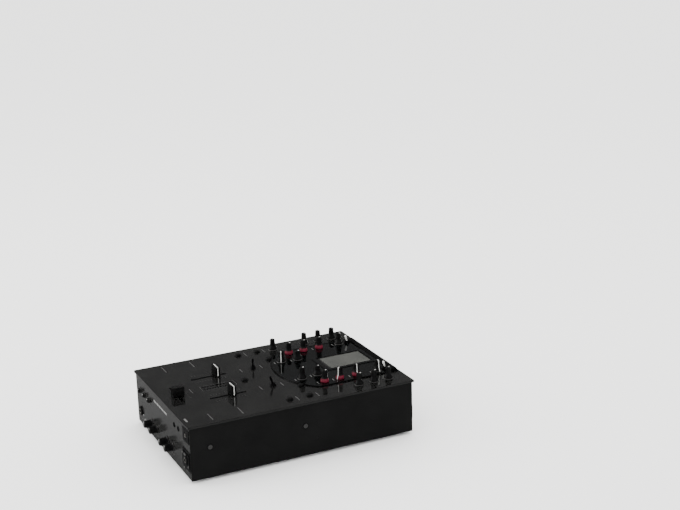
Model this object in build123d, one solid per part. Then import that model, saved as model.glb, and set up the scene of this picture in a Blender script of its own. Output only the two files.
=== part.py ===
from build123d import *
import os

# Two-channel scratch mixer with a central touch display.  Millimetres, +Z up, the front faces -Y.
# The origin is under the middle of the whole object, on the surface that its feet stand on.

# ---- driving dimensions ----
PLATE_WIDTH = 251.0
PLATE_DEPTH = 361.0
PLATE_THICKNESS = 3.0
FOOT_HEIGHT = 5.0
CASE_HEIGHT = 83.0          # underside of the case to the top of the plate
FRONT_REACH = 11.0          # front knobs, beyond the plate's front edge
REAR_REACH = 10.0           # rear jacks, beyond the plate's rear edge
SHEET = 1.5                 # folded sheet steel of the case
SIDE_OVERHANG = 1.8
FRONT_OVERHANG = 2.5
REAR_OVERHANG = 3.3

SHAFT_R = 3.0
BUSH_BORE_R = 3.05          # running fit on a 6 mm shaft
BUSH_R = 3.4
BUSH_HOLE_R = 3.5
KNOB_GAP = 0.4              # knob skirt above the surface
KNOB_HEIGHT = 18.1
SMALL_KNOB_HEIGHT = 14.5

# ---- derived levels and edges ----
CASE_BOTTOM = FOOT_HEIGHT
PLATE_TOP = FOOT_HEIGHT + CASE_HEIGHT
PLATE_UNDER = PLATE_TOP - PLATE_THICKNESS
CONSOLE_RAISE = 1.5
CONSOLE_TOP = PLATE_TOP + CONSOLE_RAISE
PLATE_FRONT = (FRONT_REACH - PLATE_DEPTH - REAR_REACH) / 2
PLATE_REAR = PLATE_FRONT + PLATE_DEPTH
PLATE_HALF = PLATE_WIDTH / 2
CASE_HALF = PLATE_HALF - SIDE_OVERHANG
CASE_FRONT = PLATE_FRONT + FRONT_OVERHANG
CASE_REAR = PLATE_REAR - REAR_OVERHANG
INNER_HALF = CASE_HALF - SHEET
BOARD_TOP = PLATE_UNDER - 6.5
BOARD_THICKNESS = 1.6


def deep(distance):
    """Y of a place given as its distance behind the plate's front edge."""
    return PLATE_FRONT + distance


def high(distance):
    """Z of a place given as its height above the underside of the case."""
    return CASE_BOTTOM + distance


# ---- the controls: name, x, distance behind the front edge ----
# A knob's last value is where its pointer rests, in degrees clockwise from twelve o'clock.
OUTER_KNOBS = {
    "booth_level_knob": (-100, 330, 0),
    "balance_knob": (-100, 305.5, 0),
    "master_level_knob": (-100, 280.5, 20),
    "session_level_knob": (-100, 225, 0),
    "microphone_level_knob": (100, 330, -30),
    "microphone_treble_knob": (100, 305.5, 0),
    "microphone_bass_knob": (100, 280.5, 0),
}
CHANNEL_KNOBS = {"trim": (68, 328), "treble": (67, 292), "middle": (67, 264.5), "bass": (67, 239)}
EFFECT_KNOBS = {"effect_level": (40, 214, KNOB_HEIGHT), "effect_time": (37, 241, SMALL_KNOB_HEIGHT)}
POINTER_REST = {
    "left": {"trim": 10, "treble": -5, "middle": 0, "bass": 0, "effect_level": 115, "effect_time": 0},
    "right": {"trim": 85, "treble": 95, "middle": 150, "bass": 10, "effect_level": 0, "effect_time": -20},
}
PUSH_BUTTONS = {
    "left_cue_button": (-102, 166),
    "right_cue_button": (102, 166),
    "left_assign_button": (-102, 198),
    "right_assign_button": (102, 198),
    "left_effect_button": (-62, 202),
    "right_effect_button": (62, 202),
    "meter_mode_button": (0, 136),
}
TRANSFORM_LEVERS = {"left": -40, "right": 40}
TRANSFORM_DEEP = 166
TRANSFORM_REST = {"left": 0.0, "right": 18.0}   # tilt to the front; the lever goes 18 degrees each way
SELECTOR_X, SELECTOR_DEEP = 66, 342
SELECTOR_TILT = 14.0        # a selector lever leans this far to the front or to the rear

FADER_TRAVEL = 45.0
FADER_X, FADER_MIDDLE = 41.5, 93.0
FADER_REST = {"left": 105.5, "right": 99.5}
CROSSFADER_DEEP, CROSSFADER_REST = 27.0, 7.0
SLOT_LENGTH = FADER_TRAVEL + 9
SLOT_WIDTH = 2.0
STEM = (4.0, 1.2)           # along the travel, across it
CHANNEL_CAP, CROSSFADER_CAP = (8.0, 18.0, 14.5), (10.5, 18.0, 13.0)   # along the travel, across, high
FADER_FRAME = (66.0, 16.0, 11.0)

FRONT_SMALL_KNOBS = {"fader_reverse_knob": -102, "fader_curve_knob": -79.5, "crossfader_curve_knob": -57}
FRONT_SMALL_HIGH, FRONT_SMALL_R, FRONT_SMALL_LENGTH = 57.5, 4.2, 4.6
FRONT_LARGE_KNOBS = {"phones_level_knob": 44, "phones_mix_knob": 20,
                     "session_mix_knob": -27, "session_gain_knob": -53}
FRONT_LARGE_HIGH, FRONT_LARGE_R = 21.5, 6.2
PHONES_JACK = (106, 27)     # large jack in a rectangular flange: x, height
MINI_JACK = (108, 65)
SESSION_JACK = (-105, 22)

DISPLAY_WIDTH, DISPLAY_LENGTH, DISPLAY_MIDDLE = 50.0, 76.0, 304.0
CONSOLE_HALF = 80.0
CONSOLE_ARC_R, CONSOLE_ARC_MIDDLE = 110.0, 299.0
CONSOLE_REAR = 358.0

RCA_COLUMNS, RCA_ROWS = [-92 + 17 * i for i in range(8)], (30, 52)
INLET_X, INLET_HIGH = 96.0, 30.0
ROCKER_X, ROCKER_HIGH = 96.0, 60.0


def box(x0, x1, y0, y1, z0, z1):
    """A block between two corners."""
    return Pos((x0 + x1) / 2, (y0 + y1) / 2, (z0 + z1) / 2) * Box(x1 - x0, y1 - y0, z1 - z0)


def rod(x, y, z0, z1, r):
    """An upright cylinder between two levels."""
    return Pos(x, y, (z0 + z1) / 2) * Cylinder(r, z1 - z0)


def rod_y(x, z, y0, y1, r):
    """A cylinder along Y between two planes."""
    return Pos(x, (y0 + y1) / 2, z) * Rot(90, 0, 0) * Cylinder(r, y1 - y0)


def save(name, *solids):
    """Write one node; several solids stay separate in it."""
    shape = solids[0] if len(solids) == 1 else Compound(children=list(solids))
    export_step(shape, f"parts/{name}.step")


def cut(body, tools):
    """Take every tool out of the body."""
    for tool in tools:
        body -= tool
    return body


# ---- where every shaft stands ----
def plate_knobs():
    """Each upright knob: name -> x, y, surface it stands on, height, pointer's rest turn."""
    knobs = {}
    for name, (x, distance, rest) in OUTER_KNOBS.items():
        knobs[name] = (x, deep(distance), PLATE_TOP, KNOB_HEIGHT, rest)
    console = {name: (*place, KNOB_HEIGHT) for name, place in CHANNEL_KNOBS.items()} | EFFECT_KNOBS
    for side, sign in (("left", -1), ("right", 1)):
        for name, (x, distance, height) in console.items():
            rest = POINTER_REST[side][name]
            knobs[f"{side}_{name}_knob"] = (sign * x, deep(distance), CONSOLE_TOP, height, rest)
    return knobs


def levers():
    """Each toggle: name -> x, y, surface, height above it, rest tilt towards the front."""
    found = {}
    for side, x in TRANSFORM_LEVERS.items():
        place = (x, deep(TRANSFORM_DEEP), PLATE_TOP)
        found[f"{side}_transform_lever"] = (*place, TRANSFORM_HEIGHT, TRANSFORM_REST[side])
    for side, sign in (("left", -1), ("right", 1)):
        place = (sign * SELECTOR_X, deep(SELECTOR_DEEP), CONSOLE_TOP)
        found[f"{side}_input_lever"] = (*place, SELECTOR_HEIGHT, SELECTOR_TILT)
    return found


def front_knobs():
    """Each knob on the front panel: name -> x, z, radius, length."""
    knobs = {name: (x, high(FRONT_SMALL_HIGH), FRONT_SMALL_R, FRONT_SMALL_LENGTH)
             for name, x in FRONT_SMALL_KNOBS.items()}
    for name, x in FRONT_LARGE_KNOBS.items():
        knobs[name] = (x, high(FRONT_LARGE_HIGH), FRONT_LARGE_R, FRONT_REACH + FRONT_OVERHANG - KNOB_GAP)
    return knobs


# ---- knobs ----
RECESS_R, RECESS_DEPTH = 5.2, 2.5
SHAFT_INTO_KNOB = 11.0


def tall_knob(height):
    """Slim fluted grip on a flared skirt, its base at z = 0, with a pointer slot facing +Y."""
    skirt_r, skirt_top, flare_top, grip_r, tip_r = 6.6, 2.4, 7.6, 4.4, 3.9
    outline = Polyline((0, 0), (skirt_r - 0.3, 0), (skirt_r, 0.3), (skirt_r, skirt_top), (grip_r, flare_top),
                       (tip_r, height - 0.7), (tip_r - 0.7, height), (0, height), close=True)
    cap = revolve(Plane.XZ * make_face(outline), Axis.Z)
    flute_count, flute_r = 12, 0.55
    for i in range(flute_count):
        turn = 360 / flute_count * (i + 0.5)
        flute = Pos(grip_r + 0.15, 0, (height + flare_top) / 2 + 1.2) * Cylinder(flute_r, height - flare_top)
        cap -= Rot(0, 0, turn) * flute
    half_slot, slot_depth = 0.6, 0.35
    cap -= box(-half_slot, half_slot, tip_r - slot_depth, skirt_r, flare_top, height + 1)
    cap -= box(-half_slot, half_slot, 0.8, skirt_r, height - slot_depth, height + 1)
    return cap - rod(0, 0, 0, RECESS_DEPTH, RECESS_R) - rod(0, 0, 0, SHAFT_INTO_KNOB - KNOB_GAP, SHAFT_R)


def round_knob(radius, length):
    """Straight fluted knob, its base at z = 0, with a pointer slot across its end."""
    tip_r = radius - 0.6
    outline = Polyline((0, 0), (radius, 0), (radius, 1.6), (tip_r, 2.4), (tip_r - 0.25, length - 0.8),
                       (tip_r - 1.0, length), (0, length), close=True)
    cap = revolve(Plane.XZ * make_face(outline), Axis.Z)
    flute_count, flute_start = 18, 2.8
    for i in range(flute_count):
        flute = rod(tip_r + 0.15, 0, flute_start, length + 1, 0.45)
        cap -= Rot(0, 0, 360 / flute_count * i) * flute
    return cap - box(-0.5, 0.5, 0.8, radius, length - 0.4, length + 1)


def upright_knob_nodes():
    """Every knob on the plate and the console, with its shaft."""
    blanks = {height: tall_knob(height) for height in (KNOB_HEIGHT, SMALL_KNOB_HEIGHT)}
    for name, (x, y, surface, height, rest) in plate_knobs().items():
        cap = Pos(x, y, surface + KNOB_GAP) * Rot(0, 0, -rest) * blanks[height]
        shaft = rod(x, y, PLATE_UNDER - 4.5, surface + SHAFT_INTO_KNOB, SHAFT_R)
        save(name, cap, shaft)


def front_knob_nodes():
    """Every knob on the front panel, with its shaft along Y."""
    for name, (x, z, radius, length) in front_knobs().items():
        shaft_r = SHAFT_R if radius > 5 else 2.0
        grip = length * 0.6
        blank = round_knob(radius, length) - rod(0, 0, 0, grip, shaft_r)
        if radius > RECESS_R + 0.8:
            blank -= rod(0, 0, 0, RECESS_DEPTH, RECESS_R)
        cap = Pos(x, CASE_FRONT - KNOB_GAP, z) * Rot(90, 0, 0) * blank
        shaft = rod_y(x, z, CASE_FRONT - KNOB_GAP - grip, CASE_FRONT + SHEET + 4.5, shaft_r)
        save(name, cap, shaft)


def potentiometers():
    """Pot bodies under the plate and behind the front panel, each with its bush and nut."""
    pots = []
    for x, y, surface, _, _ in plate_knobs().values():
        body = box(x - 5, x + 5, y - 5.5, y + 5.5, BOARD_TOP, PLATE_UNDER)
        bush = rod(x, y, PLATE_UNDER, surface + 1.9, BUSH_R)
        nut = Pos(x, y, surface) * extrude(RegularPolygon(4.9, 6), 1.5)
        pots.append(body + bush + nut - rod(x, y, PLATE_UNDER - 5, surface + 3, BUSH_BORE_R))
    inside = CASE_FRONT + SHEET
    for x, z, radius, _ in front_knobs().values():
        large = radius > 5
        bush_r, bore = (BUSH_R, BUSH_BORE_R) if large else (2.4, 2.05)
        body = box(x - 5, x + 5, inside, inside + 7, z - 5.5, z + 5.5)
        bush = rod_y(x, z, CASE_FRONT - (1.9 if large else 0.2), inside, bush_r)
        pot = body + bush
        if large:
            pot += Pos(x, CASE_FRONT, z) * Rot(90, 0, 0) * extrude(RegularPolygon(4.9, 6), 1.5)
        pots.append(pot - rod_y(x, z, CASE_FRONT - 3, inside + 5, bore))
    save("potentiometers", *pots)


# ---- faders ----
def fader_places():
    """Each fader: name -> rest x, rest y, middle of its slot, and whether it runs along X."""
    places = {}
    for side, sign in (("left", -1), ("right", 1)):
        x = sign * FADER_X
        places[f"{side}_channel_fader"] = (x, deep(FADER_REST[side]), (x, deep(FADER_MIDDLE)), False)
    y = deep(CROSSFADER_DEEP)
    places["crossfader"] = (CROSSFADER_REST, y, (0.0, y), True)
    return places


def fader_cap(length, width, height):
    """Fader cap whose long grip faces curve in, length along the travel, its base at z = 0."""
    dish_r, dish_depth = 26.0, 0.9
    side = length / 2 + dish_r - dish_depth
    cap = Pos(0, 0, height / 2) * Box(length, width, height)
    for sign in (-1, 1):
        cap -= Pos(sign * side, 0, height + 1.0) * Rot(90, 0, 0) * Cylinder(dish_r, width + 2)
    return chamfer(cap.edges().filter_by(Axis.Z), 0.6)


def fader_nodes():
    """Caps with their stems and carriages, and the frames that they run in."""
    frames = []
    for name, (x, y, (middle_x, middle_y), along_x) in fader_places().items():
        turn = Rot(0, 0, 0 if along_x else 90)
        length, width, height = CROSSFADER_CAP if along_x else CHANNEL_CAP
        base = PLATE_TOP + 0.9
        stem_z0, stem_z1 = PLATE_UNDER - 6.0, base + 8.0
        stem = Pos(0, 0, (stem_z0 + stem_z1) / 2) * Box(*STEM, stem_z1 - stem_z0)
        cap = Pos(0, 0, base) * fader_cap(length, width, height) - stem
        carriage = Pos(0, 0, stem_z0 - 0.6) * Box(10, 11.0, 3.8) - stem
        save(name, *[Pos(x, y, 0) * turn * piece for piece in (cap, stem, carriage)])
        frame_length, frame_width, frame_height = FADER_FRAME
        middle_z = PLATE_UNDER - frame_height / 2
        frame = Pos(0, 0, middle_z) * Box(frame_length, frame_width, frame_height)
        frame -= Pos(0, 0, middle_z) * Box(frame_length - 3, frame_width - 3, frame_height - 2.4)
        frame -= Pos(0, 0, PLATE_UNDER) * Box(SLOT_LENGTH, 3.0, 4)
        frames.append(Pos(middle_x, middle_y, 0) * turn * frame)
    save("fader_frames", *frames)


# ---- levers, buttons and their switches ----
LEVER_PIVOT = 1.6           # above the surface, inside the bush
TRANSFORM_HEIGHT, SELECTOR_HEIGHT = 16.5, 13.5
TOGGLE_BUSH_R, TOGGLE_BORE_R, TOGGLE_BUSH_TOP = 3.0, 2.4, 4.4
TOGGLE_NUT_R = 5.0
TOGGLE_HOLE_R = 3.1
BUTTON_R, BUTTON_HOLE_R, BUTTON_TRAVEL = 4.3, 4.6, 0.8
BUTTON_HEIGHT = 3.2


def lever_nodes():
    """Slim bat levers that rock in a threaded bush."""
    for name, (x, y, surface, height, tilt) in levers().items():
        reach = height - LEVER_PIVOT
        outline = Polyline((0, -3.0), (0.8, -3.0), (1.25, -0.6), (1.25, 0.8), (1.0, 2.4),
                           (1.75, reach - 1.6), (1.2, reach - 0.4), (0.5, reach), (0, reach), close=True)
        bat = revolve(Plane.XZ * make_face(outline), Axis.Z)
        save(name, Pos(x, y, surface + LEVER_PIVOT) * Rot(tilt, 0, 0) * bat)


def button_nodes():
    """Round push buttons held under the plate by a flange, each with a thin stem below."""
    for name, (x, distance) in PUSH_BUTTONS.items():
        y = deep(distance)
        cap = rod(x, y, PLATE_UNDER - 1.5, PLATE_TOP + BUTTON_HEIGHT, BUTTON_R)
        rim = cap.edges().group_by(Axis.Z)[-1]
        cap = fillet(rim, 0.8)
        flange = rod(x, y, PLATE_UNDER - 1.5, PLATE_UNDER - 0.3, BUTTON_R + 1.0)
        stem = rod(x, y, BOARD_TOP + 1.6, PLATE_UNDER - 1.5, 1.5)
        save(name, cap + flange + stem)


def switch_bodies():
    """Toggle bodies with their bushes, and the push switches that stand on the control board."""
    bodies = []
    for x, y, surface, _, _ in levers().values():
        body = box(x - 6.5, x + 6.5, y - 4, y + 4, PLATE_UNDER - 9, PLATE_UNDER)
        bush = rod(x, y, PLATE_UNDER, surface + TOGGLE_BUSH_TOP, TOGGLE_BUSH_R)
        nut = Cone(TOGGLE_NUT_R, TOGGLE_BUSH_R + 0.2, TOGGLE_BUSH_TOP)
        well = rod(x, y, PLATE_UNDER - 3, surface + TOGGLE_BUSH_TOP + 1, TOGGLE_BORE_R)
        bodies.append(body + bush + Pos(x, y, surface + TOGGLE_BUSH_TOP / 2) * nut - well)
    for x, distance in PUSH_BUTTONS.values():
        y = deep(distance)
        body = box(x - 3.5, x + 3.5, y - 3.5, y + 3.5, BOARD_TOP, BOARD_TOP + 2.6)
        bodies.append(body - rod(x, y, BOARD_TOP + 0.5, BOARD_TOP + 3, 1.7))
    save("switch_bodies", *bodies)


# ---- plates, panels and the display ----
def upright_holes(z0, z1):
    """Holes for every bush and button that rises through the plate, between two levels."""
    holes = [rod(x, y, z0, z1, BUSH_HOLE_R) for x, y, *_ in plate_knobs().values()]
    return holes + [rod(x, y, z0, z1, TOGGLE_HOLE_R) for x, y, *_ in levers().values()]


def top_plate():
    """Thick steel plate that overhangs the case on all four sides."""
    plate = box(-PLATE_HALF, PLATE_HALF, PLATE_FRONT, PLATE_REAR, PLATE_UNDER, PLATE_TOP)
    plate = fillet(plate.edges().filter_by(Axis.Z), 1.5)
    plate = chamfer(plate.edges().group_by(Axis.Z)[-1], 0.5)
    below, above = PLATE_UNDER - 1, PLATE_TOP + 1
    tools = upright_holes(below, above)
    tools += [rod(x, deep(d), below, above, BUTTON_HOLE_R) for x, d in PUSH_BUTTONS.values()]
    for _, _, (x, y), along_x in fader_places().values():
        half_x, half_y = (SLOT_LENGTH / 2, SLOT_WIDTH / 2) if along_x else (SLOT_WIDTH / 2, SLOT_LENGTH / 2)
        tools.append(box(x - half_x, x + half_x, y - half_y, y + half_y, below, above))
    tools.append(display_block(0.4, below, above))
    save("top_plate", cut(plate, tools))


def display_block(margin, z0, z1):
    """Rounded block the size of the touch display, grown by a margin."""
    half, length = DISPLAY_WIDTH / 2 + margin, DISPLAY_LENGTH / 2 + margin
    middle = deep(DISPLAY_MIDDLE)
    block = box(-half, half, middle - length, middle + length, z0, z1)
    return fillet(block.edges().filter_by(Axis.Z), 3.0 + margin)


def console_plate():
    """Raised plate around the display: an arc at the front, straight sides, a rolled rear rim."""
    half, rear, middle = CONSOLE_HALF, deep(CONSOLE_REAR), deep(CONSOLE_ARC_MIDDLE)
    drop = (CONSOLE_ARC_R ** 2 - half ** 2) ** 0.5
    front = ThreePointArc((-half, middle - drop), (0, middle - CONSOLE_ARC_R), (half, middle - drop))
    back = Polyline((half, middle - drop), (half, rear), (-half, rear), (-half, middle - drop))
    plate = Pos(0, 0, PLATE_TOP) * extrude(make_face([front, back]), CONSOLE_RAISE)
    plate = chamfer(plate.edges().group_by(Axis.Z)[-1], 0.4)
    rim_depth, rim_height = 8.0, 3.2
    rim = box(-half + 4, half - 4, rear - rim_depth, rear, CONSOLE_TOP - 1, PLATE_TOP + rim_height)
    rim = fillet(rim.edges().group_by(Axis.Z)[-1], 1.5)
    tools = upright_holes(PLATE_TOP - 1, CONSOLE_TOP + 1)
    tools.append(display_block(0.2, PLATE_TOP - 1, CONSOLE_TOP + 1))
    save("console_plate", cut(plate + rim, tools))


def touch_display():
    """Touch glass flush in the console, on the display module that sits on the control board."""
    glass = display_block(0, CONSOLE_TOP - 2.0, CONSOLE_TOP - 0.3)
    middle = deep(DISPLAY_MIDDLE)
    module = box(-30, 30, middle - 43, middle + 43, BOARD_TOP, PLATE_UNDER)
    module += display_block(-0.5, PLATE_UNDER, CONSOLE_TOP - 2.0)
    save("touch_display", glass, module)


def side_panels():
    """Flat steel sides with a folded flange under the plate, drilled for the side screws."""
    flange = 10.0
    for side, sign in (("left", -1), ("right", 1)):
        wall_x = sorted((sign * INNER_HALF, sign * CASE_HALF))
        flange_x = sorted((sign * (INNER_HALF - flange), sign * INNER_HALF))
        panel = box(*wall_x, CASE_FRONT, CASE_REAR, CASE_BOTTOM, PLATE_UNDER)
        front, rear = CASE_FRONT + SHEET + 8, CASE_REAR - SHEET - 2
        panel += box(*flange_x, front, rear, PLATE_UNDER - SHEET, PLATE_UNDER)
        holes = [Pos(sign * CASE_HALF, y, z) * Rot(0, 90, 0) * Cylinder(SCREW_HOLE_R, 3 * SHEET)
                 for y, z in SIDE_SCREWS]
        save(f"{side}_side_panel", cut(panel, holes))


def front_panel():
    """Brushed metal front between the side panels."""
    panel = box(-INNER_HALF, INNER_HALF, CASE_FRONT, CASE_FRONT + SHEET, CASE_BOTTOM, PLATE_UNDER)
    y0, y1 = CASE_FRONT - 1, CASE_FRONT + SHEET + 1
    tools = [rod_y(x, z, y0, y1, BUSH_HOLE_R if r > 5 else 2.5) for x, z, r, _ in front_knobs().values()]
    tools += [rod_y(x, high(z), y0, y1, r) for (x, z), r in JACK_HOLES]
    save("front_panel", cut(panel, tools))


def rear_panel():
    """Sheet-steel rear between the side panels."""
    panel = box(-INNER_HALF, INNER_HALF, CASE_REAR - SHEET, CASE_REAR, CASE_BOTTOM, PLATE_UNDER)
    y0, y1 = CASE_REAR - SHEET - 1, CASE_REAR + 1
    tools = [rod_y(x, high(z), y0, y1, RCA_NECK_R) for x in RCA_COLUMNS for z in RCA_ROWS]
    tools += [rod_y(GROUND_POST[0], high(GROUND_POST[1]), y0, y1, 2.0)]
    tools += [box(INLET_X - 14, INLET_X + 14, y0, y1, high(INLET_HIGH) - 10.5, high(INLET_HIGH) + 10.5)]
    tools += [box(ROCKER_X - 10.5, ROCKER_X + 10.5, y0, y1, high(ROCKER_HIGH) - 7.5, high(ROCKER_HIGH) + 7.5)]
    save("rear_panel", cut(panel, tools))


def bottom_panel():
    """Sheet-steel floor, the posts for the main board, and the angles that the side screws hold."""
    front, rear, floor = CASE_FRONT + SHEET, CASE_REAR - SHEET, CASE_BOTTOM + SHEET
    panel = box(-INNER_HALF, INNER_HALF, front, rear, CASE_BOTTOM, floor)
    holes = [rod(x, y, CASE_BOTTOM - 1, floor + 1, SCREW_HOLE_R) for x, y in FOOT_PLACES]
    posts = [rod(x, y, floor, MAIN_BOARD_Z, 3.0) for x, y in BOARD_POSTS]
    angles = []
    for sign in (-1, 1):
        wall_x = sorted((sign * (INNER_HALF - SHEET), sign * INNER_HALF))
        foot_x = sorted((sign * (INNER_HALF - ANGLE_FOOT), sign * INNER_HALF))
        for y, z in SIDE_SCREWS:
            y0, y1 = y - ANGLE_HALF_WIDTH, y + ANGLE_HALF_WIDTH
            angle = box(*wall_x, y0, y1, floor, z + ANGLE_ABOVE_SCREW)
            angle += box(*foot_x, y0, y1, floor, floor + SHEET)
            hole = Pos(sign * INNER_HALF, y, z) * Rot(0, 90, 0) * Cylinder(SCREW_HOLE_R, 3 * SHEET)
            angles.append(angle - hole)
    save("bottom_panel", cut(panel, holes), *posts, *angles)


# ---- inside ----
MAIN_BOARD_Z = CASE_BOTTOM + SHEET + 8
MAIN_BOARD = (-112, 58, deep(60), deep(320))
BOARD_POSTS = [(x, y) for x in (-106, -27, 52) for y in (deep(68), deep(312))]
FOOT_INSET = 26.0
FOOT_PLACES = [(sx * (PLATE_HALF - FOOT_INSET), y) for sx in (-1, 1)
               for y in (PLATE_FRONT + FOOT_INSET + 6, PLATE_REAR - FOOT_INSET - 6)]
SCREW_R, SCREW_HOLE_R = 1.5, 1.6
SIDE_SCREWS = [(deep(32), high(47)), (deep(180), high(47))]
ANGLE_HALF_WIDTH, ANGLE_ABOVE_SCREW, ANGLE_FOOT = 8.0, 8.0, 10.0


def control_board():
    """Circuit board under the plate that carries the pots, the push switches and the display."""
    board = box(-110, 110, deep(128), deep(348), BOARD_TOP - BOARD_THICKNESS, BOARD_TOP)
    wells = [box(x - 7, x + 7, y - 4.5, y + 4.5, BOARD_TOP - 5, BOARD_TOP + 1)
             for x, y, *_ in levers().values()]
    save("control_board", cut(board, wells))


def main_board():
    """Signal board on the posts, with its processor, memory and ribbon-cable header."""
    x0, x1, y0, y1 = MAIN_BOARD
    top = MAIN_BOARD_Z + BOARD_THICKNESS
    board = box(x0, x1, y0, y1, MAIN_BOARD_Z, top)
    processor = box(-46, -18, deep(150), deep(178), top, top + 2.6)
    memory = box(-4, 8, deep(154), deep(174), top, top + 1.4)
    header = box(-60, -10, deep(290), deep(296), top, top + 9)
    save("main_board", board, processor, memory, header)


def power_supply():
    """Mains transformer on the floor beside the main board: laminated core and winding."""
    floor = CASE_BOTTOM + SHEET
    y = deep(250)
    core = box(68, 112, y - 26, y + 26, floor, floor + 44)
    for sign in (-1, 1):
        core -= box(66, 114, y + sign * 11 - 6, y + sign * 11 + 6, floor + 9, floor + 35)
    winding = box(69, 111, y - 17, y + 17, floor + 9, floor + 35)
    core_leg = box(68, 112, y - 5, y + 5, floor + 9, floor + 35)
    save("power_transformer", core, winding - core_leg)


def screws():
    """Pan-head screws of the two sides, with a cross recess, and the flat screws of the feet."""
    pieces = []
    for sign in (-1, 1):
        for y, z in SIDE_SCREWS:
            head = Cylinder(3.4, 1.3, align=(Align.CENTER, Align.CENTER, Align.MIN))
            head = fillet(head.edges().group_by(Axis.Z)[-1], 0.7)
            head -= Pos(0, 0, 1.1) * Box(3.6, 0.7, 1.2)
            head -= Pos(0, 0, 1.1) * Box(0.7, 3.6, 1.2)
            shank = Cylinder(SCREW_R, SHEET + 2.4, align=(Align.CENTER, Align.CENTER, Align.MAX))
            pieces.append(Pos(sign * CASE_HALF, y, z) * Rot(0, 90 * sign, 0) * (head + shank))
    for x, y in FOOT_PLACES:
        head = rod(x, y, FOOT_HEIGHT - 2.5, FOOT_HEIGHT - 1.0, 3.0)
        pieces.append(head + rod(x, y, FOOT_HEIGHT - 1.0, CASE_BOTTOM + SHEET + 4, SCREW_R))
    save("screws", *pieces)


def feet():
    """Four round rubber feet, each recessed for its screw."""
    pieces = []
    for x, y in FOOT_PLACES:
        foot = Pos(x, y, 0) * Cone(8.2, 9.5, FOOT_HEIGHT, align=(Align.CENTER, Align.CENTER, Align.MIN))
        foot -= rod(x, y, -1, FOOT_HEIGHT - 1.0, 3.0)
        pieces.append(foot - rod(x, y, 0, FOOT_HEIGHT + 1, SCREW_R))
    save("feet", *pieces)


# ---- jacks ----
PHONE_BORE_R, PHONE_BORE_LENGTH = 3.25, 16.0
MINI_BORE_R, MINI_BORE_LENGTH = 1.8, 12.0
PHONE_NECK_R = 5.4
PHONES_BODY_R = 9.4
JACK_HOLES = [(PHONES_JACK, PHONES_BODY_R + 0.1), (SESSION_JACK, PHONE_NECK_R + 0.1), (MINI_JACK, 3.1)]
RCA_NECK_R, RCA_BARREL_R = 5.0, 4.15
GROUND_POST = (60, 41)


def phone_jacks():
    """Large headphone jack in a locking flange, a plain session jack and a mini headphone jack."""
    inside = CASE_FRONT + SHEET
    x, z = PHONES_JACK[0], high(PHONES_JACK[1])
    flange = box(x - 14, x + 14, CASE_FRONT - 2.2, CASE_FRONT, z - 10.5, z + 10.5)
    flange = fillet(flange.edges().filter_by(Axis.Y), 2.5)
    phones = flange + rod_y(x, z, CASE_FRONT, inside + 16, PHONES_BODY_R)
    phones += rod_y(x, z, CASE_FRONT - 3.4, CASE_FRONT - 2.2, 8.6)
    phones -= rod_y(x, z, CASE_FRONT - 4, CASE_FRONT - 3.4 + PHONE_BORE_LENGTH, PHONE_BORE_R)
    x, z = SESSION_JACK[0], high(SESSION_JACK[1])
    session = rod_y(x, z, CASE_FRONT - 2.6, inside, PHONE_NECK_R)
    session += rod_y(x, z, CASE_FRONT - 2.0, CASE_FRONT, 7.4)
    session += box(x - 8, x + 8, inside, inside + 16, z - 7, z + 7)
    session -= rod_y(x, z, CASE_FRONT - 3, CASE_FRONT - 2.6 + PHONE_BORE_LENGTH, PHONE_BORE_R)
    x, z = MINI_JACK[0], high(MINI_JACK[1])
    mini = rod_y(x, z, CASE_FRONT - 1.2, inside, 3.0)
    mini += box(x - 4.5, x + 4.5, inside, inside + 13, z - 4.5, z + 4.5)
    mini -= rod_y(x, z, CASE_FRONT - 2, CASE_FRONT - 1.2 + MINI_BORE_LENGTH, MINI_BORE_R)
    save("phone_jacks", phones, session, mini)


def rca_jacks():
    """Pairs of phono jacks on the rear, and the knurled ground post."""
    inside, tip = CASE_REAR - SHEET, PLATE_REAR + REAR_REACH
    pieces = []
    for x in RCA_COLUMNS:
        for z in [high(row) for row in RCA_ROWS]:
            jack = rod_y(x, z, inside, CASE_REAR, RCA_NECK_R - 0.1)
            jack += rod_y(x, z, CASE_REAR, CASE_REAR + 2.4, 6.4)
            jack += rod_y(x, z, CASE_REAR + 2.4, tip, RCA_BARREL_R)
            jack += box(x - 6, x + 6, inside - 12, inside, z - 6, z + 6)
            pieces.append(jack - rod_y(x, z, tip - 9, tip + 1, 1.6))
    x, z = GROUND_POST[0], high(GROUND_POST[1])
    post = rod_y(x, z, inside - 6, CASE_REAR, 1.9)
    for y0, y1, r in ((0, 1.5, 5.0), (1.5, 3.5, 2.6), (3.5, 9, 4.6)):
        post += rod_y(x, z, CASE_REAR + y0, CASE_REAR + y1, r)
    save("rca_jacks", *pieces, post)


INLET_DEPTH, INLET_PIN = 17.0, 11.5


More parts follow.
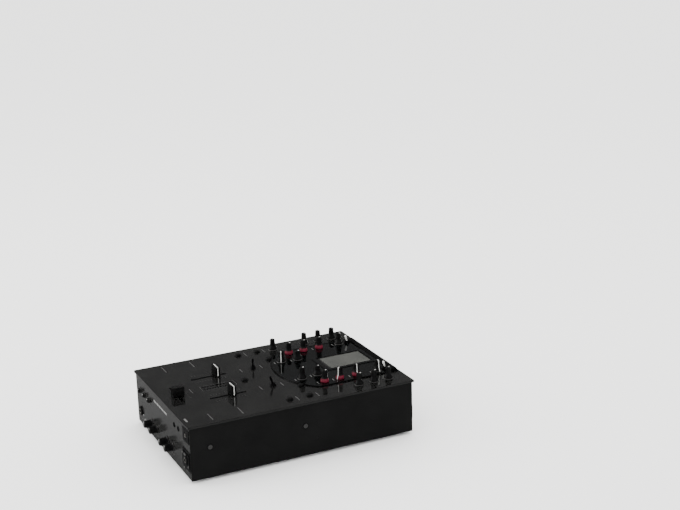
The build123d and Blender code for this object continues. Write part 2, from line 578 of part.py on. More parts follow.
def power_entry():
    """Three-pin mains inlet with its recess and blades, and the frame of the mains switch."""
    x, z, face = INLET_X, high(INLET_HIGH), CASE_REAR + 2.0
    body = box(x - 25, x + 25, CASE_REAR, face, z - 12, z + 12)
    body = fillet(body.edges().filter_by(Axis.Y), 3.0)
    body += box(x - 13.5, x + 13.5, face - INLET_DEPTH - 3, CASE_REAR, z - 10, z + 10)
    body -= box(x - 11.5, x + 11.5, face - INLET_DEPTH, face + 1, z - 7.5, z + 7.5)
    floor = face - INLET_DEPTH
    blades = [box(x + dx - 2, x + dx + 2, floor, floor + INLET_PIN, z + dz - 1, z + dz + 1)
              for dx, dz in ((-7, -2), (0, 2.5), (7, -2))]
    x, z, face = ROCKER_X, high(ROCKER_HIGH), CASE_REAR
    frame = box(x - 12.5, x + 12.5, face, face + 1.6, z - 9.5, z + 9.5)
    frame = fillet(frame.edges().filter_by(Axis.Y), 1.5)
    frame += box(x - 10.2, x + 10.2, face - 13, face, z - 7.2, z + 7.2)
    frame -= box(x - 9, x + 9, face - 8, face + 2, z - 6, z + 6)
    save("power_entry", body, *blades, frame)


ROCKER_TILT = 10.0          # the rocker is pressed this far to one side
ROCKER_HEIGHT = 10.4
ROCKER_PIVOT = 1.0          # its pivot stands this far out of the rear panel


def power_rocker():
    """Rocker of the mains switch, hollowed to a shallow V on its outer face."""
    outline = Polyline((-7.8, 1.0), (0, -1.0), (7.8, 1.0), (6.5, -3.4), (-6.5, -3.4), close=True)
    rocker = Pos(0, 0, -ROCKER_HEIGHT / 2) * extrude(make_face(outline), ROCKER_HEIGHT)
    place = Pos(ROCKER_X, CASE_REAR + ROCKER_PIVOT, high(ROCKER_HIGH)) * Rot(0, 0, ROCKER_TILT)
    save("power_rocker", place * rocker)


def main():
    os.makedirs("parts", exist_ok=True)
    top_plate()
    console_plate()
    touch_display()
    side_panels()
    front_panel()
    rear_panel()
    bottom_panel()
    control_board()
    main_board()
    power_supply()
    screws()
    feet()
    upright_knob_nodes()
    front_knob_nodes()
    potentiometers()
    fader_nodes()
    lever_nodes()
    button_nodes()
    switch_bodies()
    phone_jacks()
    rca_jacks()
    power_entry()
    power_rocker()


main()
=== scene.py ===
import math

import bmesh
import bpy
from mathutils import Matrix, Vector


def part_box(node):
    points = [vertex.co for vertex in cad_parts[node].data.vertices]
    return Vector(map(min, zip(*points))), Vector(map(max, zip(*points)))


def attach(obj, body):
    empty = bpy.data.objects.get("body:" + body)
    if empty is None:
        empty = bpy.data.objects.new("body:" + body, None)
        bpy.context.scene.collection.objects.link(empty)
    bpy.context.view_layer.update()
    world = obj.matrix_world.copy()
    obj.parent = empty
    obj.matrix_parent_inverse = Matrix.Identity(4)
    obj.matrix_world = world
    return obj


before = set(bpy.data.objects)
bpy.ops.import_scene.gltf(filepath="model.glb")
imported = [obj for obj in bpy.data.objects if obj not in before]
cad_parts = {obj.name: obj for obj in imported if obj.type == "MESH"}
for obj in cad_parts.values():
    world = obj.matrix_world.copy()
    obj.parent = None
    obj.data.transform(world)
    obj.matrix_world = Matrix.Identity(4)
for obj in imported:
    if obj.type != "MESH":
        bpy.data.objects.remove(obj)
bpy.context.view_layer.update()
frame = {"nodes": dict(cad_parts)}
nodes = frame["nodes"]

MM = 0.001


def box_mm(node):
    """Low and high corner of a CAD node, in mm."""
    low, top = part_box(node)
    return low / MM, top / MM


PLATE_LOW, PLATE_HIGH = box_mm("top_plate")
PLATE_TOP = PLATE_HIGH.z
PLATE_FRONT = PLATE_LOW.y
CONSOLE_SHEET = 1.5
CONSOLE_TOP = PLATE_TOP + CONSOLE_SHEET
CASE_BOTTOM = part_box("right_side_panel")[0].z / MM
FRONT_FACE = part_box("front_panel")[0].y / MM
REAR_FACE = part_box("rear_panel")[1].y / MM
SIDE_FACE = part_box("right_side_panel")[1].x / MM


def deep(distance):
    """Y of a place given as its distance behind the plate's front edge, in mm."""
    return PLATE_FRONT + distance


def high(distance):
    """Z of a place given as its height above the underside of the case, in mm."""
    return CASE_BOTTOM + distance


# ---------------------------------------------------------------- materials
class Look:
    """A node material under construction: a Principled shader and helpers that feed it."""

    def __init__(self, name, color, roughness, metallic=0.0, specular=0.5, coat=0.0, coat_roughness=0.1):
        self.material = bpy.data.materials.new(name)
        self.material.use_nodes = True
        self.tree = self.material.node_tree
        self.shader = self.tree.nodes["Principled BSDF"]
        self.set("Base Color", (*color, 1.0))
        self.set("Roughness", roughness)
        self.set("Metallic", metallic)
        self.set("Specular IOR Level", specular)
        self.set("Coat Weight", coat)
        self.set("Coat Roughness", coat_roughness)
        self.coordinates = self.node("ShaderNodeTexCoord").outputs["Object"]

    def set(self, socket, value):
        """Give one of the shader's sockets a constant."""
        self.shader.inputs[socket].default_value = value

    def node(self, kind, **settings):
        """New node of a kind, with its settings."""
        made = self.tree.nodes.new(kind)
        for key, value in settings.items():
            setattr(made, key, value)
        return made

    def link(self, source, target):
        """Wire one socket to another."""
        self.tree.links.new(source, target)

    def feed(self, socket, source):
        """Wire a socket into the shader."""
        self.link(source, self.shader.inputs[socket])

    def noise(self, size_mm, detail=3.0, roughness=0.55, stretch=(1, 1, 1)):
        """Noise whose features are about size_mm across."""
        mapping = self.node("ShaderNodeMapping")
        mapping.inputs["Scale"].default_value = [s / (size_mm * MM) for s in stretch]
        self.link(self.coordinates, mapping.inputs["Vector"])
        made = self.node("ShaderNodeTexNoise")
        made.inputs["Scale"].default_value = 1.0
        made.inputs["Detail"].default_value = detail
        made.inputs["Roughness"].default_value = roughness
        self.link(mapping.outputs["Vector"], made.inputs["Vector"])
        return made.outputs["Fac"]

    def axis(self, letter):
        """One object coordinate, in metres."""
        made = self.node("ShaderNodeSeparateXYZ")
        self.link(self.coordinates, made.inputs[0])
        return made.outputs[letter]

    def math(self, operation, a, b=None):
        """Result of a math node on sockets or numbers."""
        made = self.node("ShaderNodeMath", operation=operation)
        for index, value in enumerate((a, b)):
            if isinstance(value, (int, float)):
                made.inputs[index].default_value = value
            elif value is not None:
                self.link(value, made.inputs[index])
        return made.outputs[0]

    def span(self, source, low, high, to_low=0.0, to_high=1.0):
        """Source mapped from one range to another, and held at its ends."""
        made = self.node("ShaderNodeMapRange")
        made.inputs["From Min"].default_value = low
        made.inputs["From Max"].default_value = high
        made.inputs["To Min"].default_value = to_low
        made.inputs["To Max"].default_value = to_high
        self.link(source, made.inputs["Value"])
        return made.outputs["Result"]

    def blend_colors(self, factor, a, b):
        """Colour a where factor is 0, b where it is 1; each is a colour or a socket."""
        made = self.node("ShaderNodeMix", data_type="RGBA")
        self.link(factor, made.inputs["Factor"])
        for name, value in (("A", a), ("B", b)):
            socket = next(s for s in made.inputs if s.name == name and s.type == "RGBA")
            if isinstance(value, tuple):
                socket.default_value = (*value, 1.0)
            else:
                self.link(value, socket)
        return next(s for s in made.outputs if s.type == "RGBA")

    def worn_edges(self, radius_mm=0.5):
        """1 on sharp edges and 0 on flat faces, from the rounded normal."""
        bevel = self.node("ShaderNodeBevel", samples=4)
        bevel.inputs["Radius"].default_value = radius_mm * MM
        flat = self.node("ShaderNodeNewGeometry").outputs["Normal"]
        dot = self.node("ShaderNodeVectorMath", operation="DOT_PRODUCT")
        self.link(bevel.outputs[0], dot.inputs[0])
        self.link(flat, dot.inputs[1])
        return self.span(dot.outputs["Value"], 0.99, 0.86)

    def relief(self, height, depth_mm, strength=1.0, edge_mm=0.35):
        """Bump from a height, over edges rounded by edge_mm."""
        made = self.node("ShaderNodeBump")
        made.inputs["Strength"].default_value = strength
        made.inputs["Distance"].default_value = depth_mm * MM
        self.link(height, made.inputs["Height"])
        if edge_mm:
            bevel = self.node("ShaderNodeBevel", samples=4)
            bevel.inputs["Radius"].default_value = edge_mm * MM
            self.link(bevel.outputs[0], made.inputs["Normal"])
        self.feed("Normal", made.outputs["Normal"])


def scaled(color, factor):
    """Colour made lighter or darker by a factor."""
    return tuple(c * factor for c in color)


def lacquer(name, color, roughness, specular):
    """Deep gloss lacquer: nearly a mirror, with dust haze, wiped smears and a slight wave."""
    look = Look(name, color, roughness, specular=specular)
    dust = look.span(look.noise(32, detail=6, roughness=0.6), 0.32, 0.72)
    look.feed("Base Color", look.blend_colors(dust, scaled(color, 0.7), scaled(color, 1.5)))
    smears = look.noise(26, detail=5, roughness=0.6, stretch=(1, 0.4, 1))
    look.feed("Roughness", look.span(smears, 0.3, 0.7, roughness * 0.7, roughness * 1.5))
    look.relief(look.noise(28, detail=2), 0.06, 0.3)
    return look.material


def painted_metal(name, color, worn, roughness, specular, grain_mm, depth_mm):
    """Sprayed paint: fine orange peel, faint handling marks and slightly polished edges."""
    look = Look(name, color, roughness, specular=specular)
    patches = look.span(look.noise(60, detail=4), 0.3, 0.7)
    shade = look.blend_colors(patches, scaled(color, 0.8), scaled(color, 1.2))
    look.feed("Base Color", look.blend_colors(look.math("MULTIPLY", look.worn_edges(), 0.55), shade, worn))
    smudge = look.noise(22, detail=6, roughness=0.65)
    look.feed("Roughness", look.span(smudge, 0.3, 0.7, roughness - 0.05, roughness + 0.07))
    look.relief(look.noise(grain_mm, detail=2), depth_mm, 0.5)
    return look.material


def brushed_metal(name, color, roughness, stretch, metallic=1.0, specular=0.5):
    """Metal with fine brushing lines, long along one axis."""
    look = Look(name, color, roughness, metallic=metallic, specular=specular)
    lines = look.noise(0.35, detail=4, roughness=0.7, stretch=stretch)
    broad = look.noise(45, detail=3)
    tone = look.math("ADD", look.math("MULTIPLY", lines, 0.65), look.math("MULTIPLY", broad, 0.35))
    tone = look.span(tone, 0.35, 0.65)
    look.feed("Base Color", look.blend_colors(tone, scaled(color, 0.78), scaled(color, 1.18)))
    look.feed("Roughness", look.span(lines, 0.3, 0.7, roughness - 0.07, roughness + 0.1))
    look.relief(lines, 0.012, 0.5)
    return look.material


def moulded_plastic(name, color, roughness, specular=0.5, grain_mm=0.35, depth_mm=0.02, coat=0.0):
    """Moulded plastic: spark-eroded grain, a little colour drift, edges rubbed smoother."""
    look = Look(name, color, roughness, specular=specular, coat=coat)
    drift = look.span(look.noise(9, detail=3), 0.3, 0.7)
    shade = look.blend_colors(drift, scaled(color, 0.8), scaled(color, 1.2))
    rubbed = tuple(min(1.0, c * 1.4 + 0.004) for c in color)
    edges = look.math("MULTIPLY", look.worn_edges(0.4), 0.6)
    look.feed("Base Color", look.blend_colors(edges, shade, rubbed))
    look.feed("Roughness", look.span(look.noise(4, detail=5), 0.3, 0.7, roughness - 0.06, roughness + 0.08))
    look.relief(look.noise(grain_mm, detail=2), depth_mm, 0.5)
    return look.material


def plated_metal(name, color, roughness):
    """Plated or machined metal: a faint turned texture and fingerprints in the gloss."""
    look = Look(name, color, roughness, metallic=1.0)
    prints = look.noise(3, detail=5, roughness=0.7)
    look.feed("Base Color", look.blend_colors(look.span(prints, 0.3, 0.7), scaled(color, 0.88), color))
    look.feed("Roughness", look.span(prints, 0.35, 0.65, max(roughness - 0.05, 0.04), roughness + 0.1))
    look.relief(look.noise(0.4, detail=2), 0.006, 0.4, edge_mm=0.15)
    return look.material


def printed_ink(name, color):
    """Screen-printed ink: slightly uneven cover."""
    look = Look(name, color, 0.55)
    cover = look.noise(0.5, detail=3)
    look.feed("Base Color", look.blend_colors(look.span(cover, 0.3, 0.75), scaled(color, 0.7), color))
    look.relief(cover, 0.004, 0.3, edge_mm=0)
    return look.material


KNOB_GAP = 0.4               # between a knob's skirt and the surface under it
RED_TOP = 5.4                # how far up the knob its crimson reaches
RED, RED_DEEP = (0.115, 0.004, 0.018), (0.065, 0.0025, 0.009)
GRIP_DARK, GRIP_LIGHT, GRIP_RUBBED = (0.0022, 0.0022, 0.0022), (0.0042, 0.0042, 0.0042), (0.02, 0.018, 0.018)


def skirted_knob(name, surface):
    """Black fluted grip over a crimson skirt; the colours meet part of the way up the flare."""
    look = Look(name, (0.003, 0.003, 0.003), 0.34, specular=0.28)
    on_grip = look.math("GREATER_THAN", look.axis("Z"), (surface + KNOB_GAP + RED_TOP) * MM)
    drift = look.span(look.noise(5, detail=3), 0.3, 0.7)
    skirt = look.blend_colors(drift, RED_DEEP, RED)
    grip = look.blend_colors(drift, GRIP_DARK, GRIP_LIGHT)
    edges = look.math("MULTIPLY", look.worn_edges(0.35), 0.3)
    shade = look.blend_colors(on_grip, skirt, grip)
    look.feed("Base Color", look.blend_colors(edges, shade, GRIP_RUBBED))
    look.feed("Roughness", look.span(look.noise(3, detail=5), 0.3, 0.7, 0.32, 0.5))
    look.relief(look.noise(0.35, detail=2), 0.02, 0.45)
    return look.material


DISPLAY_MIDDLE, DISPLAY_HALF_WIDTH, DISPLAY_HALF_LENGTH = 304.0, 25.0, 38.0
DISPLAY_BORDER, DISPLAY_SETBACK = 1.6, 4.0   # black edge all round, and what more there is at the front
DISPLAY_DARK, DISPLAY_LIGHT = (0.038, 0.039, 0.036), (0.052, 0.053, 0.048)
BORDER_BLACK = (0.003, 0.003, 0.003)


def display_look():
    """Touch glass over a grey-green panel that is switched off, inside a black printed border."""
    look = Look("look_display", (0.06, 0.06, 0.054), 0.16, specular=0.45, coat=0.25, coat_roughness=0.05)
    across = look.math("ABSOLUTE", look.axis("X"))
    panel_middle = deep(DISPLAY_MIDDLE + DISPLAY_SETBACK / 2) * MM
    along = look.math("ABSOLUTE", look.math("SUBTRACT", look.axis("Y"), panel_middle))
    half_width = DISPLAY_HALF_WIDTH - DISPLAY_BORDER
    half_length = DISPLAY_HALF_LENGTH - DISPLAY_BORDER - DISPLAY_SETBACK / 2
    past_side = look.math("GREATER_THAN", across, half_width * MM)
    past_end = look.math("GREATER_THAN", along, half_length * MM)
    outside = look.math("MAXIMUM", past_side, past_end)
    haze = look.span(look.noise(28, detail=4), 0.3, 0.7)
    panel = look.blend_colors(haze, DISPLAY_DARK, DISPLAY_LIGHT)
    look.feed("Base Color", look.blend_colors(outside, panel, BORDER_BLACK))
    look.feed("Roughness", look.span(look.noise(14, detail=6, roughness=0.7), 0.35, 0.7, 0.12, 0.26))
    look.relief(look.noise(1.2, detail=2), 0.002, 0.25, edge_mm=0.2)
    return look.material


INLET_HIGH, INLET_RECESS = 30.0, 17.0
BLADES_HALF_WIDTH, BLADES_HALF_HEIGHT = 9.5, 4.5
BLADE_METAL = (0.68, 0.66, 0.6)


def power_entry_look():
    """Black moulded frames, with bright blades where they stand in the inlet's recess."""
    look = Look("look_power_entry", (0.02, 0.02, 0.02), 0.45)
    low, top = box_mm("power_entry")
    across = look.math("ABSOLUTE", look.math("SUBTRACT", look.axis("X"), (low.x + top.x) / 2 * MM))
    above = look.math("ABSOLUTE", look.math("SUBTRACT", look.axis("Z"), high(INLET_HIGH) * MM))
    recess_floor = top.y - INLET_RECESS + 0.05
    beyond = look.math("GREATER_THAN", look.axis("Y"), recess_floor * MM)
    in_width = look.math("LESS_THAN", across, BLADES_HALF_WIDTH * MM)
    in_height = look.math("LESS_THAN", above, BLADES_HALF_HEIGHT * MM)
    blade = look.math("MULTIPLY", look.math("MULTIPLY", in_width, in_height), beyond)
    drift = look.span(look.noise(6, detail=3), 0.3, 0.7)
    plastic = look.blend_colors(drift, (0.014, 0.014, 0.014), (0.026, 0.026, 0.026))
    look.feed("Base Color", look.blend_colors(blade, plastic, BLADE_METAL))
    look.feed("Metallic", blade)
    look.feed("Roughness", look.span(blade, 0, 1, 0.45, 0.25))
    look.relief(look.noise(0.4, detail=2), 0.02, 0.4)
    return look.material


LOOKS = {
    "plate": lacquer("look_plate", (0.0042, 0.0042, 0.0040), 0.055, 0.66),
    "console": lacquer("look_console", (0.0007, 0.0009, 0.0009), 0.04, 0.34),
    "trim": moulded_plastic("look_trim", (0.0012, 0.0012, 0.0012), 0.3, specular=0.2, depth_mm=0.006),
    "case": painted_metal("look_case", (0.0042, 0.0043, 0.0042), worn=(0.010, 0.010, 0.010), roughness=0.5,
                          specular=0.12, grain_mm=0.8, depth_mm=0.01),
    "front": brushed_metal("look_front", (0.018, 0.018, 0.0175), 0.13, stretch=(0.012, 1, 1), metallic=0.25,
                           specular=0.27),
    "knob": moulded_plastic("look_knob", (0.0028, 0.0028, 0.0028), 0.34, specular=0.28),
    "fader": moulded_plastic("look_fader", (0.0022, 0.0022, 0.0022), 0.28, specular=0.3),
    "button": moulded_plastic("look_button", (0.003, 0.003, 0.003), 0.45, specular=0.35, depth_mm=0.03),
    "jack_plastic": moulded_plastic("look_jack_plastic", (0.0025, 0.0025, 0.003), 0.42, specular=0.16),
    "rubber": moulded_plastic("look_rubber", (0.009, 0.009, 0.0085), 0.75, specular=0.3, depth_mm=0.05),
    "lever": plated_metal("look_lever", (0.03, 0.03, 0.031), 0.2),
    "white": moulded_plastic("look_white", (0.55, 0.55, 0.53), 0.3, grain_mm=0.6, depth_mm=0.006, coat=0.2),
    "board": moulded_plastic("look_board", (0.012, 0.07, 0.03), 0.4, coat=0.3),
    "nickel": plated_metal("look_nickel", (0.62, 0.60, 0.56), 0.22),
    "steel": brushed_metal("look_steel", (0.42, 0.42, 0.41), 0.32, stretch=(1, 1, 0.1)),
    "bright": plated_metal("look_bright", (0.55, 0.55, 0.54), 0.28),
    "rim": plated_metal("look_rim", (0.42, 0.42, 0.41), 0.3),
    "dull": plated_metal("look_dull", (0.26, 0.26, 0.255), 0.36),
    "ink": printed_ink("look_ink", (0.2, 0.2, 0.195)),
    "ink_mid": printed_ink("look_ink_mid", (0.11, 0.11, 0.107)),
    "ink_dim": printed_ink("look_ink_dim", (0.05, 0.05, 0.049)),
    "ink_faint": printed_ink("look_ink_faint", (0.03, 0.03, 0.029)),
    "red_plastic": moulded_plastic("look_red_plastic", (0.22, 0.012, 0.012), 0.35),
    # near-black: the own colour of the slot edging and the unlit meter lamps, and painted shade of holes on
    # the bottom cooling slots and the front lamp domes
    "black_and_hole_shade": moulded_plastic("look_black_and_hole_shade", (0.001, 0.001, 0.001), 0.6, specular=0.05),
}
NODE_LOOKS = {
    "top_plate": "plate", "console_plate": "console", "front_panel": "front", "rear_panel": "case",
    "left_side_panel": "case", "right_side_panel": "case", "bottom_panel": "case", "control_board": "board",
    "main_board": "board", "power_transformer": "steel", "potentiometers": "bright",
    "fader_frames": "steel", "switch_bodies": "lever", "phone_jacks": "jack_plastic",
    "rca_jacks": "nickel", "feet": "rubber", "screws": "dull", "power_rocker": "jack_plastic",
    "crossfader": "fader", "left_channel_fader": "fader", "right_channel_fader": "fader",
    "left_transform_lever": "lever", "right_transform_lever": "lever",
    "left_input_lever": "white", "right_input_lever": "white",
}
EQ_SUFFIXES = ("_treble_knob", "_middle_knob", "_bass_knob")
UPRIGHT_RISE = 10            # an upright knob's top is more than this over the plate


def is_upright_knob(node):
    """Whether a node is a knob on the plate or the console, and not one on the front panel."""
    return node.endswith("_knob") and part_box(node)[1].z / MM > PLATE_TOP + UPRIGHT_RISE


def has_red_skirt(node):
    """Whether a node is one of the two channels' tone knobs."""
    return node.endswith(EQ_SUFFIXES) and not node.startswith("microphone")


def dress(node, material):
    """Give a CAD node its material."""
    target = nodes[node]
    target.data.materials.clear()
    target.data.materials.append(material)


def dress_nodes():
    """Give every CAD node its material, by its name or its kind."""
    eq_look = skirted_knob("look_eq_knob", CONSOLE_TOP)
    for node in nodes:
        if node in NODE_LOOKS:
            dress(node, LOOKS[NODE_LOOKS[node]])
        elif has_red_skirt(node):
            dress(node, eq_look)
        elif node.endswith("_knob"):
            dress(node, LOOKS["knob"])
        elif node.endswith("_button"):
            dress(node, LOOKS["button"])
    dress("touch_display", display_look())
    dress("power_entry", power_entry_look())


# ---------------------------------------------------------------- mesh helpers, all in mm
UNMOVED = Matrix.Identity(4)


def fresh():
    """Empty mesh under construction."""
    return bmesh.new()


def piece(name, mesh, look, body, smooth=30):
    """Turn a bmesh in mm into an object that rides a body."""
    mesh.transform(Matrix.Scale(MM, 4))
    bmesh.ops.recalc_face_normals(mesh, faces=mesh.faces)
    data = bpy.data.meshes.new(name)
    mesh.to_mesh(data)
    mesh.free()
    data.polygons.foreach_set("use_smooth", [True] * len(data.polygons))
    data.set_sharp_from_angle(angle=math.radians(smooth))
    data.materials.append(LOOKS[look])
    made = bpy.data.objects.new(name, data)
    bpy.context.scene.collection.objects.link(made)
    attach(made, body)


def rounded(half_x, half_y, radius, centre=(0, 0), steps=6):
    """Outline of a rounded rectangle, counter-clockwise."""
    points = []
    for corner, (sx, sy) in enumerate(((1, -1), (1, 1), (-1, 1), (-1, -1))):
        for step in range(steps + 1):
            turn = math.radians(-90 + 90 * corner + 90 * step / steps)
            points.append((centre[0] + sx * (half_x - radius) + radius * math.cos(turn),
                           centre[1] + sy * (half_y - radius) + radius * math.sin(turn)))
    return points


def add_loop(mesh, outline, inset, level, place):
    """Vertices of an outline at one level, each drawn towards the outline's middle by inset."""
    middle = Vector((sum(x for x, y in outline), sum(y for x, y in outline))) / len(outline)
    loop = []
    for corner in outline:
        reach = Vector(corner) - middle
        keep = max(1 - inset / max(reach.length, 1e-6), 0.05)
        point = middle + reach * keep
        loop.append(mesh.verts.new(place @ Vector((point.x, point.y, level))))
    return loop


def add_skin(mesh, rows, around=False):
    """Faces between successive closed rows; around joins the last to the first, else the ends are capped."""
    pairs = list(zip(rows, rows[1:]))
    if around:
        pairs.append((rows[-1], rows[0]))
    else:
        mesh.faces.new(rows[0][::-1])
        mesh.faces.new(rows[-1])
    for a, b in pairs:
        for i in range(len(a)):
            j = (i + 1) % len(a)
            mesh.faces.new((a[i], a[j], b[j], b[i]))


def add_prism(mesh, outline, low, top, chamfer=0.0, place=UNMOVED):
    """Closed prism over a 2-D outline, with its upper rim chamfered, moved by place."""
    levels = [(low, 0.0), (top - chamfer, 0.0)] + ([(top, chamfer)] if chamfer else [])
    add_skin(mesh, [add_loop(mesh, outline, inset, level, place) for level, inset in levels])


def add_box(mesh, x0, x1, y0, y1, z0, z1, place=UNMOVED):
    """Box between two corners, moved by place."""
    add_prism(mesh, [(x0, y0), (x1, y0), (x1, y1), (x0, y1)], z0, z1, place=place)


def add_frame(mesh, outer, inner, low, top, place=UNMOVED):
    """Ring between two outlines of equal length, with its top edges eased."""
    ease = min(0.3, (top - low) / 3)
    rows = [(outer, low, 0.0), (outer, top - ease, 0.0), (outer, top, ease),
            (inner, top, -ease), (inner, top - ease, 0.0), (inner, low, 0.0)]
    loops = [add_loop(mesh, outline, inset, level, place) for outline, level, inset in rows]
    add_skin(mesh, loops, around=True)


def add_lathe(mesh, profile, place=UNMOVED, steps=48, closed=True):
    """Solid of revolution about local Z from (radius, height) points; closed joins last to first."""
    rings = []
    for radius, level in profile:
        if radius < 1e-6:
            rings.append([mesh.verts.new(place @ Vector((0, 0, level)))])
            continue
        rings.append([mesh.verts.new(place @ Vector((radius * math.cos(t), radius * math.sin(t), level)))
                      for t in (2 * math.pi * i / steps for i in range(steps))])
    pairs = list(zip(rings, rings[1:]))
    if closed:
        pairs.append((rings[-1], rings[0]))
    for a, b in pairs:
        for i in range(steps):
            j = (i + 1) % steps
            corners = [a[i % len(a)], a[j % len(a)], b[j % len(b)], b[i % len(b)]]
            unique = list(dict.fromkeys(corners))
            if len(unique) > 2:
                mesh.faces.new(unique)


def front_place(x, z, out=0.0):
    """Local XY on the front panel, with local Z pointing out of it."""
    return Matrix.Translation((x, FRONT_FACE - out, z)) @ Matrix.Rotation(math.radians(90), 4, "X")


def rear_place(x, z, out=0.0):
    """Local XY on the rear panel, with local Z pointing out of it."""
    return Matrix.Translation((x, REAR_FACE + out, z)) @ Matrix.Rotation(math.radians(-90), 4, "X")


def side_place(y, z, sign):
    """Local XY on a side panel, with local Z pointing out of it."""
    turn = Matrix.Rotation(math.radians(90 * sign), 4, "Y")
    return Matrix.Translation((sign * SIDE_FACE, y, z)) @ turn


# ---------------------------------------------------------------- knobs
SKIRT_R, SKIRT_TOP, FLARE_TOP, GRIP_R, TIP_R = 6.6, 2.4, 7.6, 4.4, 3.9
CONSOLE_KNOB_X = 80          # a knob nearer than this to the middle stands on the console
POINTER_REST = {             # degrees clockwise from straight back; a knob not named here is at 0
    "master_level_knob": 20, "microphone_level_knob": -30,
    "left_trim_knob": 10, "left_treble_knob": -5, "left_effect_level_knob": 115,
    "right_trim_knob": 85, "right_treble_knob": 95, "right_middle_knob": 150, "right_bass_knob": 10,
    "right_effect_time_knob": -20,
}
POINTER_HALF, POINTER_PROUD, POINTER_THICK = 0.55, 0.08, 0.34
RIM_R = 7.5                  # bright saucer round the foot of a knob with no crimson skirt
SAUCER = [(SKIRT_R - 0.5, 0.05), (RIM_R - 0.1, 0.05), (RIM_R, 0.2), (RIM_R, 0.45),
          (RIM_R - 0.25, 0.65), (SKIRT_R + 0.1, 1.0), (SKIRT_R - 0.5, 1.0)]


def knob_axis(node):
    """Where an upright knob stands, the surface under its skirt, and its height."""
    low, top = box_mm(node)
    x, y = (low.x + top.x) / 2, (low.y + top.y) / 2
    surface = CONSOLE_TOP if abs(x) < CONSOLE_KNOB_X else PLATE_TOP
    return x, y, surface, top.z - surface - KNOB_GAP


def pointer_strip(place, height):
    """White inlay across the tip, down the grip and over the flare."""
    tip, proud, thick = height + POINTER_PROUD, POINTER_PROUD, POINTER_THICK
    path = [          # reach and level of the strip's face, and of its back behind it
        ((0.9, tip), (0.9, tip - thick)),
        ((TIP_R - 0.75, tip), (TIP_R - 0.75, tip - thick)),
        ((TIP_R + proud - 0.05, height - 0.72), (TIP_R + proud - 0.05 - thick, height - 0.82)),
        ((GRIP_R + proud, FLARE_TOP), (GRIP_R + proud - thick, FLARE_TOP)),
        ((SKIRT_R + proud, SKIRT_TOP), (SKIRT_R + proud - thick, SKIRT_TOP)),
        ((SKIRT_R + proud, 0.35), (SKIRT_R + proud - thick, 0.35)),
    ]
    mesh = fresh()
    half, rows = POINTER_HALF, []
    for face, back in path:
        corners = ((-half, *face), (half, *face), (half, *back), (-half, *back))
        rows.append([mesh.verts.new(place @ Vector(corner)) for corner in corners])
    add_skin(mesh, rows)
    return mesh


def dress_upright_knobs():
    """White pointer on every upright knob, and a bright saucer under those with no crimson skirt."""
    for node in nodes:
        if not is_upright_knob(node):
            continue
        x, y, surface, height = knob_axis(node)
        turn = Matrix.Rotation(math.radians(-POINTER_REST.get(node, 0)), 4, "Z")
        place = Matrix.Translation((x, y, surface + KNOB_GAP)) @ turn
        body = f"{node}_body"
        piece(f"{node}_pointer", pointer_strip(place, height), "white", body)
        if not has_red_skirt(node):
            rim = fresh()
            add_lathe(rim, SAUCER, place)
            piece(f"{node}_rim", rim, "rim", body)


def front_knobs():
    """Each knob on the front panel: node, x, z, radius and how far it stands out."""
    for node in nodes:
        if node.endswith("_knob") and not is_upright_knob(node):
            low, top = box_mm(node)
            yield node, (low.x + top.x) / 2, (low.z + top.z) / 2, (top.x - low.x) / 2, FRONT_FACE - low.y


def dress_front_knobs():
    """White line on the end of every front knob, and a collar round its foot."""
    for node, x, z, radius, reach in front_knobs():
        mark, collar = fresh(), fresh()
        add_box(mark, -0.45, 0.45, 0.9, radius - 1.6, reach - 0.36, reach + 0.06, front_place(x, z))
        piece(f"{node}_pointer", mark, "white", f"{node}_body")
        add_lathe(collar, [(radius - 0.5, 0.5), (radius + 0.15, 0.5), (radius + 0.25, 0.7),
                           (radius + 0.25, 1.2), (radius + 0.1, 1.4), (radius - 0.5, 1.4)], front_place(x, z))
        piece(f"{node}_rim", collar, "dull", f"{node}_body")


# ---------------------------------------------------------------- faders and buttons
CAP_WIDTH = 18.0
CAP_LIFT = 0.9               # a fader cap's base, above the plate
CAP_LINE_HALF, CAP_LINE_PROUD, CAP_LINE_SUNK = 0.65, 0.07, 0.1
GRIP_LINE_HALF, GRIP_LINE_INSET = 0.3, 0.8
BUTTON_CROWN = [(0, -0.05), (2.9, -0.05), (2.75, 0.12), (1.6, 0.3), (0, 0.36)]
BUTTON_SURROUND = [(4.75, 0.0), (5.9, 0.0), (5.8, 0.35), (5.5, 0.5), (4.95, 0.5), (4.75, 0.35)]


def dress_faders():
    """White line over each channel fader's cap and down its ends; a faint one along the crossfader's."""
    half = CAP_WIDTH / 2
    base = PLATE_TOP + CAP_LIFT + 1.0
    for node in ("left_channel_fader", "right_channel_fader", "crossfader"):
        low, top = box_mm(node)
        x, y = (low.x + top.x) / 2, (low.y + top.y) / 2
        line_low, line_top = top.z - CAP_LINE_SUNK, top.z + CAP_LINE_PROUD
        line = fresh()
        if node == "crossfader":
            look, reach = "ink_faint", half - GRIP_LINE_INSET
            add_box(line, x - GRIP_LINE_HALF, x + GRIP_LINE_HALF, y - reach, y + reach, line_low, line_top)
        else:
            look, y0, y1 = "white", y - CAP_LINE_HALF, y + CAP_LINE_HALF
            add_box(line, x - half, x + half, y0, y1, line_low, line_top)
            for sign in (-1, 1):
                face = x + sign * half
                x0, x1 = sorted((face - sign * CAP_LINE_SUNK, face + sign * CAP_LINE_PROUD))
                add_box(line, x0, x1, y0, y1, base, line_top)
        piece(f"{node}_line", line, look, f"{node}_body")


def dress_buttons():
    """Domed crown on every push button, and a fixed ring round it."""
    for node in nodes:
        if not node.endswith("_button"):
            continue
        low, top = box_mm(node)
        x, y = (low.x + top.x) / 2, (low.y + top.y) / 2
        crown, ring = fresh(), fresh()
        add_lathe(crown, BUTTON_CROWN, Matrix.Translation((x, y, top.z)), closed=False)
        piece(f"{node}_crown", crown, "button", f"{node}_body")
        add_lathe(ring, BUTTON_SURROUND, Matrix.Translation((x, y, PLATE_TOP)))
        piece(f"{node}_surround", ring, "console", "root")


